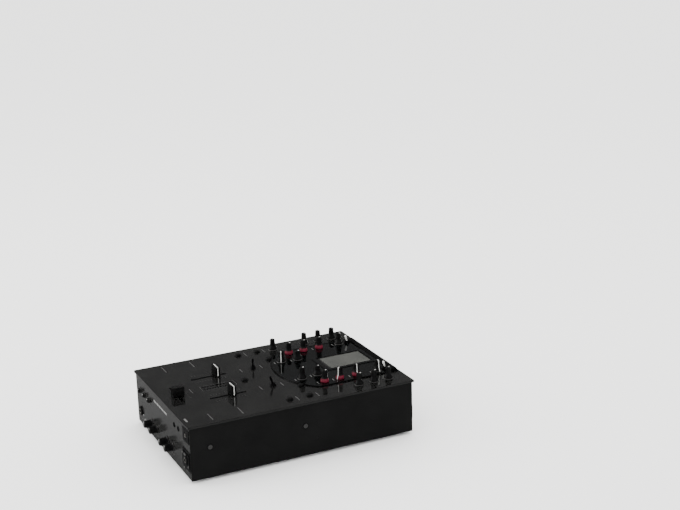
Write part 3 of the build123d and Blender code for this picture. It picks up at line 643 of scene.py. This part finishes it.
# ---------------------------------------------------------------- printing and the level meter
PRINT = 0.05                 # how proud the printing stands
SIDE_DASHES = ((103, 88, 24), (103, 42, 24), (103, 178, 16),      # x, distance and width of each
               (41, 180, 13), (40, 146, 13), (103, 210, 14))
SIDE_DASH_THICK = 1.7
MIDDLE_DASH_DEEP, MIDDLE_DASH_WIDTH, MIDDLE_DASH_THICK = 50, 18, 1.3
BADGE_X, BADGE_DEEP, BADGE_SIZE = 98, 7, (13, 3.0)
CHANNEL_X, CHANNEL_DEEP, CROSSFADER_DEEP = 41.5, 93, 27
SCALE_STEP, SCALE_STEPS, SCALE_LINE = 4.5, 11, 0.45
CHANNEL_SCALE_GAP, CHANNEL_TICK, CHANNEL_TICK_LONG = 10.5, 3.6, 6.0
CROSSFADER_SCALE_DEEP, CROSSFADER_TICK, CROSSFADER_TICK_LONG = 39, 3.0, 5.0
KNOB_SCALE_R, KNOB_DOT = 9.6, 0.6
LEGEND_GAP, LEGEND_SIZE = 1.6, (7, 1.3)


def add_mark(mesh, x, y, width, length, surface=PLATE_TOP):
    """Flat printed dash on the plate or the console, its middle at x, y."""
    outline = rounded(width / 2, length / 2, min(width, length) * 0.3, (x, y), steps=2)
    add_prism(mesh, outline, surface, surface + PRINT)


def add_fader_scales(mesh):
    """Ticks on both sides of each channel fader and behind the crossfader."""
    half_count = SCALE_STEPS // 2
    for step in range(SCALE_STEPS):
        is_long, place = step % half_count == 0, SCALE_STEP * (step - half_count)
        length = CHANNEL_TICK_LONG if is_long else CHANNEL_TICK
        for sign in (-1, 1):
            for side in (-1, 1):
                x = sign * CHANNEL_X + side * (CHANNEL_SCALE_GAP + length / 2)
                add_mark(mesh, x, deep(CHANNEL_DEEP) + place, length, SCALE_LINE)
        length = CROSSFADER_TICK_LONG if is_long else CROSSFADER_TICK
        add_mark(mesh, place, deep(CROSSFADER_SCALE_DEEP) + length / 2, SCALE_LINE, length)


def add_knob_scales(dots, legends):
    """Ring of dots round each upright knob, and a dash in front of those on the console."""
    for node in filter(is_upright_knob, nodes):
        x, y, surface, _ = knob_axis(node)
        for step in range(SCALE_STEPS):
            turn = math.radians(-150 + 30 * step)
            dot_x, dot_y = x + KNOB_SCALE_R * math.sin(turn), y + KNOB_SCALE_R * math.cos(turn)
            add_mark(dots, dot_x, dot_y, KNOB_DOT, KNOB_DOT, surface)
        if surface == CONSOLE_TOP:
            add_mark(legends, x, y - KNOB_SCALE_R - LEGEND_GAP, *LEGEND_SIZE, surface)


def plate_printing():
    """Dashes where the plate is labelled, and scales beside the slots and round the knobs."""
    dashes, scales, legends, badge = fresh(), fresh(), fresh(), fresh()
    for sign in (-1, 1):
        for x, distance, width in SIDE_DASHES:
            add_mark(dashes, sign * x, deep(distance), width, SIDE_DASH_THICK)
    add_mark(dashes, 0, deep(MIDDLE_DASH_DEEP), MIDDLE_DASH_WIDTH, MIDDLE_DASH_THICK)
    add_mark(badge, BADGE_X, deep(BADGE_DEEP), *BADGE_SIZE)
    add_fader_scales(scales)
    add_knob_scales(scales, legends)
    piece("plate_badge", badge, "ink_mid", "root")
    piece("console_legends", legends, "ink_mid", "root")
    piece("plate_printing", dashes, "ink_dim", "root")
    piece("plate_scales", scales, "ink_faint", "root")


SLOT_HALF, SLOT_HALF_WIDTH = 27.0, 1.0
SLOT_EDGE, SLOT_EDGE_CLEAR, SLOT_EDGE_PROUD = 1.1, 0.1, 0.06
SLOT_MIDDLES = ((-CHANNEL_X, CHANNEL_DEEP, False), (CHANNEL_X, CHANNEL_DEEP, False),
                (0, CROSSFADER_DEEP, True))      # x, distance, and whether it runs along X


def slot_edges():
    """Black edging round the fader slots, flush on the plate."""
    edging = fresh()
    for x, distance, along_x in SLOT_MIDDLES:
        inner = (SLOT_HALF + SLOT_EDGE_CLEAR, SLOT_HALF_WIDTH + SLOT_EDGE_CLEAR)
        outer = (inner[0] + SLOT_EDGE, inner[1] + SLOT_EDGE)
        if not along_x:
            inner, outer = inner[::-1], outer[::-1]
        place = Matrix.Translation((x, deep(distance), PLATE_TOP))
        add_frame(edging, rounded(*outer, 0.6), rounded(*inner, 0.3), 0, SLOT_EDGE_PROUD, place)
    piece("fader_slot_edges", edging, "black_and_hole_shade", "root")


METER_LAMPS, METER_FIRST, METER_PITCH, METER_COLUMN = 12, 70, 4.2, 5.0
METER_LAMP, METER_LAMP_PROUD, METER_LAMP_CHAMFER = (2.1, 1.0, 0.3), 0.18, 0.08
METER_MIDDLE = 93.1
METER_OUTER, METER_INNER, METER_FRAME_PROUD = (9.4, 27.5, 1.5), (8.6, 26.7, 0.9), 0.12


def level_meter():
    """Two columns of unlit lamps, flush in the plate between the line faders."""
    bezel, lamps = fresh(), fresh()
    for sign in (-1, 1):
        for step in range(METER_LAMPS):
            middle = (sign * METER_COLUMN, deep(METER_FIRST) + METER_PITCH * step)
            add_prism(lamps, rounded(*METER_LAMP, middle, steps=2), PLATE_TOP, PLATE_TOP + METER_LAMP_PROUD,
                      METER_LAMP_CHAMFER)
    centre = (0, deep(METER_MIDDLE))
    add_frame(bezel, rounded(*METER_OUTER, centre), rounded(*METER_INNER, centre),
              PLATE_TOP, PLATE_TOP + METER_FRAME_PROUD)
    piece("level_meter_lamps", lamps, "black_and_hole_shade", "root")
    piece("level_meter_frame", bezel, "ink_faint", "root")


# ---------------------------------------------------------------- console
BEZEL_SIDES, BEZEL_ENDS, BEZEL_CORNER, BEZEL_PROUD = 5.5, 6.5, 6.0, 0.9
BEZEL_LAP, BEZEL_INNER_CORNER = 0.6, 2.4
CONSOLE_HALF, CONSOLE_ARC_R, CONSOLE_ARC_MIDDLE, CONSOLE_REAR = 80.0, 110.0, 299.0, 358.0
TRIM_WIDTH, TRIM_HEIGHT, TRIM_SHOULDER = 1.5, 2.0, 0.7
RAIL_HALF, RAIL_DEPTH, RAIL_HEIGHT, RAIL_WALL = 77.0, 9.5, 5.4, 1.6
RAIL_END_SCALE, RAIL_END = 0.72, 1.5     # the rail is drawn in at its ends


def display_bezel():
    """Raised black frame around the touch glass."""
    centre, half_x, half_y = (0, deep(DISPLAY_MIDDLE)), DISPLAY_HALF_WIDTH, DISPLAY_HALF_LENGTH
    bezel = fresh()
    outer = rounded(half_x + BEZEL_SIDES, half_y + BEZEL_ENDS, BEZEL_CORNER, centre)
    inner = rounded(half_x - BEZEL_LAP, half_y - BEZEL_LAP, BEZEL_INNER_CORNER, centre)
    add_frame(bezel, outer, inner, CONSOLE_TOP, CONSOLE_TOP + BEZEL_PROUD)
    piece("display_bezel", bezel, "console", "root")


def console_outline(steps=40):
    """The console's edge from its left rear corner, round the front arc, to its right rear corner."""
    middle = deep(CONSOLE_ARC_MIDDLE)
    rear = deep(CONSOLE_REAR) - RAIL_DEPTH - 1
    half_turn = math.asin(CONSOLE_HALF / CONSOLE_ARC_R)
    points = [Vector((-CONSOLE_HALF, rear))]
    for step in range(steps + 1):
        turn = half_turn * (2 * step / steps - 1)
        points.append(Vector((CONSOLE_ARC_R * math.sin(turn), middle - CONSOLE_ARC_R * math.cos(turn))))
    points.append(Vector((CONSOLE_HALF, rear)))
    return points


def console_trim():
    """Black bead that hides the console's cut edge, seated on the plate."""
    mesh = fresh()
    half, shoulder = TRIM_WIDTH / 2, TRIM_HEIGHT - TRIM_SHOULDER
    section = [(-half, 0.0), (-half, shoulder), (-half / 2, TRIM_HEIGHT),
               (half / 2, TRIM_HEIGHT), (half, shoulder), (half, 0.0)]
    points = console_outline()
    rows = []
    for index, point in enumerate(points):
        before, after = points[max(index - 1, 0)], points[min(index + 1, len(points) - 1)]
        along = (after - before).normalized()
        across = Vector((along.y, -along.x))
        rows.append([mesh.verts.new((*(point + across * offset), PLATE_TOP + level))
                     for offset, level in section])
    add_skin(mesh, rows)
    piece("console_trim", mesh, "trim", "root")


def rear_rail():
    """Rounded black rail across the console's rear, over the plate's rear rim."""
    mesh = fresh()
    half_depth, steps = RAIL_DEPTH / 2, 12
    middle = deep(CONSOLE_REAR) - half_depth
    arch = [(-half_depth, 0.0)]
    for step in range(steps + 1):
        turn = math.pi * step / steps
        arch.append((-half_depth * math.cos(turn), RAIL_WALL + (RAIL_HEIGHT - RAIL_WALL) * math.sin(turn)))
    arch.append((half_depth, 0.0))
    stations = ((-RAIL_HALF, RAIL_END_SCALE), (-RAIL_HALF + RAIL_END, 1.0),
                (RAIL_HALF - RAIL_END, 1.0), (RAIL_HALF, RAIL_END_SCALE))
    rows = [[mesh.verts.new((x, middle + depth * scale, PLATE_TOP + level * scale)) for depth, level in arch]
            for x, scale in stations]
    add_skin(mesh, rows)
    piece("console_rear_rail", mesh, "trim", "root", smooth=40)


# ---------------------------------------------------------------- front panel
PHONES_X, PHONES_HIGH, PHONES_FACE = 106, 27, 2.2
SESSION_X, SESSION_HIGH = -105, 22
MINI_X, MINI_HIGH = 108, 65
FRONT_BARS = ((-31, 12), (-18.5, 9), (-8, 8), (3, 10), (17, 14))      # middle and width of each
FRONT_BARS_HIGH, FRONT_BAR_HALF_HEIGHT, FRONT_BAR_PROUD = 64.5, 1.7, 0.06
FRONT_LABELS, FRONT_LABEL_HALF = ((-98, 18), (-88, 13)), (3.5, 1.1)
FRONT_DASH_HALF, FRONT_DASH_DROP = (5.0, 0.45), 5.0
JACK_DASHES = ((PHONES_X, 9), (SESSION_X, 9), (MINI_X, 57.5))         # x and height
LARGE_KNOB_R, KNOB_DOT_GAP, KNOB_DOT_HALF = 5, 2.6, 0.35
LARGE_SWEEP, SMALL_SWEEP = (300, 11), (120, 3)                        # degrees, dots
FRONT_SCREW_X, FRONT_SCREW_HIGH = 93.5, 8.8
FRONT_SCREW = [(0, -0.1), (2.6, -0.1), (2.6, 0.5), (2.0, 1.0), (1.2, 1.1), (1.2, 0.3), (0, 0.3)]
JACK_RINGS = ((PHONES_X, PHONES_HIGH, 3.25, 3.4), (SESSION_X, SESSION_HIGH, 3.25, 2.6),
              (MINI_X, MINI_HIGH, 1.8, 1.2))                          # x, height, bore radius, how far out
FLANGE_SCREW_X, FLANGE_SCREW_Z = 11.3, 7.5
FLANGE_SCREW = [(0, -0.2), (1.9, -0.2), (1.9, 0.25), (1.4, 0.65), (0, 0.75)]
TAB_UP, TAB_OUTLINE = 9.0, (3.6, 1.4, 0.9)
SURROUND_PROUD = 0.8
# dark plates round the jacks, as large as the dark area there: partly real plate, partly painted shadow and
# painted reflection of the jacks
JACK_SURROUNDS_AND_SHADE = ((PHONES_X, PHONES_HIGH, 15.5, 15.5, (13.6, 10.1)),  # x, height, half sizes, opening
                  (MINI_X, MINI_HIGH, 12, 10.5, (4.6, 4.6)))
# the lamp domes are near-black as painted shade of dark holes
FRONT_LAMPS = ((57, 61.5), (75, 62))
LAMP_DOME = [(0, -0.1), (3.4, -0.1), (3.3, 0.25), (2.2, 0.5), (0, 0.6)]
LAMP_RIM = [(3.4, 0.0), (4.1, 0.0), (4.0, 0.4), (3.8, 0.55), (3.4, 0.55)]


def add_front_dash(mesh, x, z):
    """Printed dash on the front panel."""
    add_prism(mesh, rounded(*FRONT_DASH_HALF, 0.2, steps=1), 0, PRINT, place=front_place(x, z))


def front_bars():
    """Bars where the maker's words would stand."""
    bars = fresh()
    for x, width in FRONT_BARS:
        add_prism(bars, rounded(width / 2, FRONT_BAR_HALF_HEIGHT, 0.8, steps=3), 0, FRONT_BAR_PROUD,
                  place=front_place(x, high(FRONT_BARS_HIGH)))
    for x, level in FRONT_LABELS:
        add_prism(bars, rounded(*FRONT_LABEL_HALF, 0.4, steps=2), 0, FRONT_BAR_PROUD,
                  place=front_place(x, high(level)))
    piece("front_bars", bars, "ink", "root")


def front_marks():
    """Dots round the knobs, and dashes under the knobs and jacks."""
    marks = fresh()
    for _, x, z, radius, _ in front_knobs():
        sweep, dots = LARGE_SWEEP if radius > LARGE_KNOB_R else SMALL_SWEEP
        reach = radius + KNOB_DOT_GAP
        for step in range(dots):
            turn = math.radians(sweep * (step / (dots - 1) - 0.5))
            place = front_place(x + reach * math.sin(turn), z + reach * math.cos(turn))
            add_prism(marks, rounded(KNOB_DOT_HALF, KNOB_DOT_HALF, 0.1, steps=1), 0, PRINT, place=place)
        add_front_dash(marks, x, z - radius - FRONT_DASH_DROP)
    for x, level in JACK_DASHES:
        add_front_dash(marks, x, high(level))
    piece("front_marks", marks, "ink_dim", "root")


def front_screws():
    """One screw near each lower corner of the front panel."""
    screws = fresh()
    for sign in (-1, 1):
        place = front_place(sign * FRONT_SCREW_X, high(FRONT_SCREW_HIGH))
        add_lathe(screws, FRONT_SCREW, place, 28, closed=False)
    piece("front_screws", screws, "dull", "root")


def jack_details():
    """Bright contact rings in the jacks, and the flange's screws and release tab."""
    rings, screws, tab = fresh(), fresh(), fresh()
    for x, level, radius, out in JACK_RINGS:
        inner, outer = radius + 0.05, radius + 1.1
        add_lathe(rings, [(inner, out - 0.3), (outer, out - 0.3), (outer, out + 0.12),
                          (radius + 0.6, out + 0.3), (inner, out + 0.12)], front_place(x, high(level)))
    piece("jack_rings", rings, "nickel", "root")
    for side in (-1, 1):
        x, z = PHONES_X + side * FLANGE_SCREW_X, high(PHONES_HIGH) - side * FLANGE_SCREW_Z
        add_lathe(screws, FLANGE_SCREW, front_place(x, z, PHONES_FACE), 24, closed=False)
    piece("jack_flange_screws", screws, "dull", "root")
    add_prism(tab, rounded(*TAB_OUTLINE), -0.1, 1.4, 0.4,
              front_place(PHONES_X, high(PHONES_HIGH) + TAB_UP, PHONES_FACE))
    piece("jack_release_tab", tab, "bright", "root")


def jack_surrounds_and_shade():
    """Dark moulded plates in which the two right-hand jacks sit, partly real and partly painted shadow and
    painted reflection: each is as large as the dark area round its jack, which takes in the jack's shadow and
    reflection on the panel.
    """
    plates = fresh()
    for x, level, half_x, half_z, opening in JACK_SURROUNDS_AND_SHADE:
        add_frame(plates, rounded(half_x, half_z, 1.5), rounded(*opening, 1.0), 0, SURROUND_PROUD,
                  front_place(x, high(level)))
    piece("jack_surrounds_and_shade", plates, "jack_plastic", "root")


def lamp_details():
    """Two lamps in rims on the front panel; their domes are near-black, painted shade of dark holes."""
    lamps, rims = fresh(), fresh()
    for x, level in FRONT_LAMPS:
        place = front_place(x, high(level))
        add_lathe(lamps, LAMP_DOME, place, 28, closed=False)
        add_lathe(rims, LAMP_RIM, place, 28)
    piece("front_lamp_hole_shade", lamps, "black_and_hole_shade", "root")
    piece("front_lamp_rims", rims, "jack_plastic", "root")


# ---------------------------------------------------------------- side, rear and bottom
SIDE_RIVETS = ((85, 64), (85, 51), (85, 30), (106, 65), (199, 51), (199, 45), (199, 25), (290, 62), (290, 30))
RIVET = [(0, -0.05), (1.9, -0.05), (1.8, 0.18), (1.2, 0.4), (0, 0.5)]
JACK_COLUMNS, JACK_FIRST_X, JACK_PITCH = 8, -92, 17
JACK_ROWS = (("red_plastic", 30), ("white", 52))                      # look and height
JACK_FACE, JACK_INSERT = 2.4, [(4.3, 0.0), (5.6, 0.0), (5.45, 0.7), (5.1, 0.95), (4.3, 0.95)]
JACK_DASH_HIGH, JACK_DASH_HALF = 64, (4.5, 0.5)
PAIR_HIGH, PAIR_OUTER, PAIR_INNER = 41, (16.2, 20.5, 2.5), (15.8, 20.1, 2.1)
REAR_SCREWS = ((-114, 8), (-114, 72), (114, 8), (114, 72), (0, 72), (0, 8))
REAR_SCREW = [(0, -0.1), (2.9, -0.1), (2.9, 0.5), (2.2, 1.1), (0, 1.2)]
# the cooling slots are flat near-black patches standing a little proud: painted shade of the openings
VENT_X, VENT_FIRST, VENT_PITCH, VENT_COUNT = 52, 215, 8, 9
VENT_OUTLINE, VENT_PROUD = (16, 1.3, 1.2), 0.12
RATING_DEEP, RATING_OUTLINE, RATING_PROUD = 120, (34, 18, 2.0), 0.15
UNDERSIDE_CHAMFER = 0.05


def side_details():
    """Rivets of the inner brackets, in both sides."""
    rivets = fresh()
    for sign in (-1, 1):
        for distance, level in SIDE_RIVETS:
            add_lathe(rivets, RIVET, side_place(deep(distance), high(level), sign), 20, closed=False)
    piece("side_rivets", rivets, "case", "root")


def rear_details():
    """Coloured rings in the phono jacks, dashes over them, a frame round each two columns, and screws."""
    inserts, marks, screws = {look: fresh() for look, _ in JACK_ROWS}, fresh(), fresh()
    for column in range(JACK_COLUMNS):
        x = JACK_FIRST_X + JACK_PITCH * column
        for look, level in JACK_ROWS:
            add_lathe(inserts[look], JACK_INSERT, rear_place(x, high(level), JACK_FACE), 36)
        add_prism(marks, rounded(*JACK_DASH_HALF, 0.2, steps=1), 0, PRINT,
                  place=rear_place(x, high(JACK_DASH_HIGH)))
    piece("jack_inserts_white", inserts["white"], "white", "root")
    piece("jack_inserts_red", inserts["red_plastic"], "red_plastic", "root")
    for pair in range(JACK_COLUMNS // 2):
        x = JACK_FIRST_X + JACK_PITCH * (2 * pair + 0.5)
        add_frame(marks, rounded(*PAIR_OUTER), rounded(*PAIR_INNER), 0, PRINT, rear_place(x, high(PAIR_HIGH)))
    piece("rear_marks", marks, "ink", "root")
    for x, level in REAR_SCREWS:
        add_lathe(screws, REAR_SCREW, rear_place(x, high(level)), 28, closed=False)
    piece("rear_screws", screws, "bright", "root")


def bottom_details():
    """Cooling slots drawn as flat near-black patches, painted shade where the openings are, and a blank
    rating plate under the case.
    """
    slots, label = fresh(), fresh()
    under = Matrix.Translation((0, 0, CASE_BOTTOM)) @ Matrix.Rotation(math.radians(180), 4, "X")
    for side in (-1, 1):
        for row in range(VENT_COUNT):
            centre = (side * VENT_X, -deep(VENT_FIRST + VENT_PITCH * row))
            add_prism(slots, rounded(*VENT_OUTLINE, centre, steps=4), 0, VENT_PROUD, UNDERSIDE_CHAMFER, under)
    piece("bottom_slot_shade", slots, "black_and_hole_shade", "root")
    add_prism(label, rounded(*RATING_OUTLINE, (0, -deep(RATING_DEEP))), 0, RATING_PROUD, UNDERSIDE_CHAMFER,
              under)
    piece("bottom_plate", label, "bright", "root")


# ---------------------------------------------------------------- stage
WORLD_SOFT, WORLD_GLOSS = 2.8, 0.155     # strength as lighting, and as seen in gloss
FLOOR_PALE, FLOOR_IN_GLOSS = (0.92, 0.92, 0.91), (0.11, 0.11, 0.11)
FLOOR_RADIUS = 14
CAMERA_PLACE = (1.6971, (PLATE_FRONT - 510.49) * MM, 0.8203)
CAMERA_AZIMUTH, CAMERA_ELEVATION, CAMERA_ROLL = 64.413, 16.538, -1.4987
CAMERA_LENS, CAMERA_SENSOR = 67.69, 36.0


def studio():
    """Plain white surroundings over a pale matte disc, both dimmer in reflections than as lighting."""
    world = bpy.data.worlds.new("studio")
    bpy.context.scene.world = world
    world.use_nodes = True
    tree = world.node_tree
    background = tree.nodes["Background"]
    path = tree.nodes.new("ShaderNodeLightPath")
    strength = tree.nodes.new("ShaderNodeMix")
    strength.data_type = "FLOAT"
    strength.inputs["A"].default_value = WORLD_SOFT
    strength.inputs["B"].default_value = WORLD_GLOSS
    tree.links.new(path.outputs["Is Glossy Ray"], strength.inputs["Factor"])
    tree.links.new(strength.outputs["Result"], background.inputs["Strength"])
    background.inputs["Color"].default_value = (1.0, 1.0, 1.0, 1.0)
    disc = bmesh.new()
    bmesh.ops.create_circle(disc, cap_ends=True, radius=FLOOR_RADIUS, segments=96)
    data = bpy.data.meshes.new("floor")
    disc.to_mesh(data)
    disc.free()
    look = Look("look_floor", FLOOR_PALE, 0.9, specular=0.0)
    seen_in_gloss = look.node("ShaderNodeLightPath").outputs["Is Glossy Ray"]
    look.feed("Base Color", look.blend_colors(seen_in_gloss, FLOOR_PALE, FLOOR_IN_GLOSS))
    data.materials.append(look.material)
    floor = bpy.data.objects.new("floor", data)
    bpy.context.scene.collection.objects.link(floor)


def area_light(name, place, target, size, power, mirrored=True):
    """Soft rectangular light; one that isn't mirrored leaves no hard patch in the glossy plate."""
    data = bpy.data.lights.new(name, "AREA")
    data.shape = "RECTANGLE"
    data.size, data.size_y = size
    data.energy = power
    light = bpy.data.objects.new(name, data)
    light.location = place
    light.rotation_euler = (Vector(target) - Vector(place)).to_track_quat("-Z", "Y").to_euler()
    light.visible_glossy = mirrored
    bpy.context.scene.collection.objects.link(light)


def camera():
    """Camera placed by azimuth from the front, elevation and roll."""
    data = bpy.data.cameras.new("camera")
    data.lens = CAMERA_LENS
    data.sensor_width = CAMERA_SENSOR
    made = bpy.data.objects.new("camera", data)
    azimuth, elevation = math.radians(CAMERA_AZIMUTH), math.radians(CAMERA_ELEVATION)
    back = Vector((math.sin(azimuth) * math.cos(elevation), -math.cos(azimuth) * math.cos(elevation),
                   math.sin(elevation)))
    right = Vector((math.cos(azimuth), math.sin(azimuth), 0))
    up = back.cross(right)
    axes = Matrix((right, up, back)).transposed()
    roll = Matrix.Rotation(math.radians(CAMERA_ROLL), 3, "Z")
    made.matrix_world = Matrix.Translation(CAMERA_PLACE) @ (axes @ roll).to_4x4()
    bpy.context.scene.collection.objects.link(made)
    bpy.context.scene.camera = made


def main():
    """Dress the CAD nodes, add what they lack, and set the stage."""
    dress_nodes()
    dress_upright_knobs()
    dress_front_knobs()
    dress_faders()
    dress_buttons()
    plate_printing()
    slot_edges()
    level_meter()
    display_bezel()
    console_trim()
    rear_rail()
    front_bars()
    front_marks()
    front_screws()
    jack_details()
    jack_surrounds_and_shade()
    lamp_details()
    side_details()
    rear_details()
    bottom_details()
    studio()
    area_light("key", (-1.3, -2.2, 1.3), (0, 0, 0.05), (1.6, 1.2), 30)
    area_light("top", (-0.2, 0.2, 2.4), (0, 0, 0), (1.2, 1.2), 18, mirrored=False)
    camera()


main()
bpy.context.view_layer.update()
